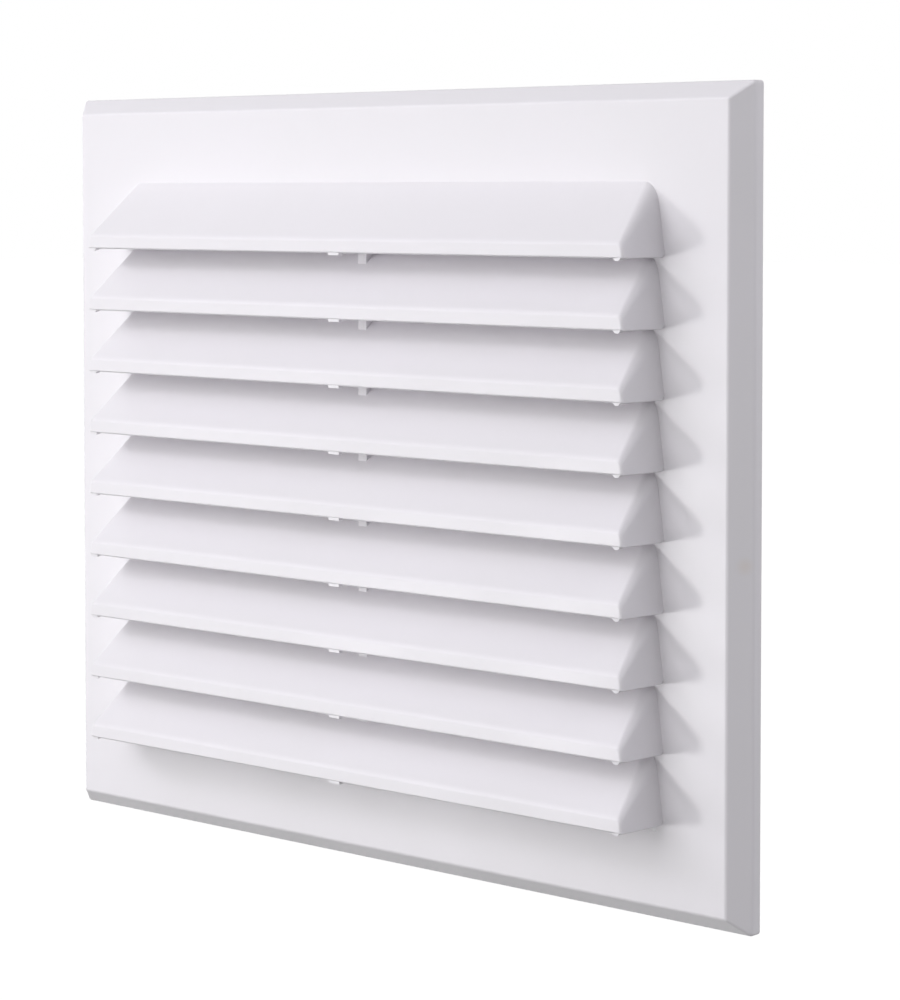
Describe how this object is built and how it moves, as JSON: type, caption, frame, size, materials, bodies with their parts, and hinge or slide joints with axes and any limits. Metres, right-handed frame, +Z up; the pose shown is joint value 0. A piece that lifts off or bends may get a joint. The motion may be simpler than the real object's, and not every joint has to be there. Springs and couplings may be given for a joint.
{
  "type": "ventilation grille",
  "caption": "Wall ventilation grille: bevelled plate with rain hoods, open below and through the plate, on a central mullion",
  "frame": {"origin": "middle of the plate in the wall plane, on the mullion's rear face", "axes": "+X across the plate, +Y into the wall, +Z up; the hoods face -Y"},
  "size_m": [0.28, 0.0275, 0.24],
  "materials": {
    "white_plastic": "smooth semi-gloss white moulded ABS"
  },
  "bodies": {
    "root": {"louvre_grille": "white_plastic"}
  },
  "joints": []
}
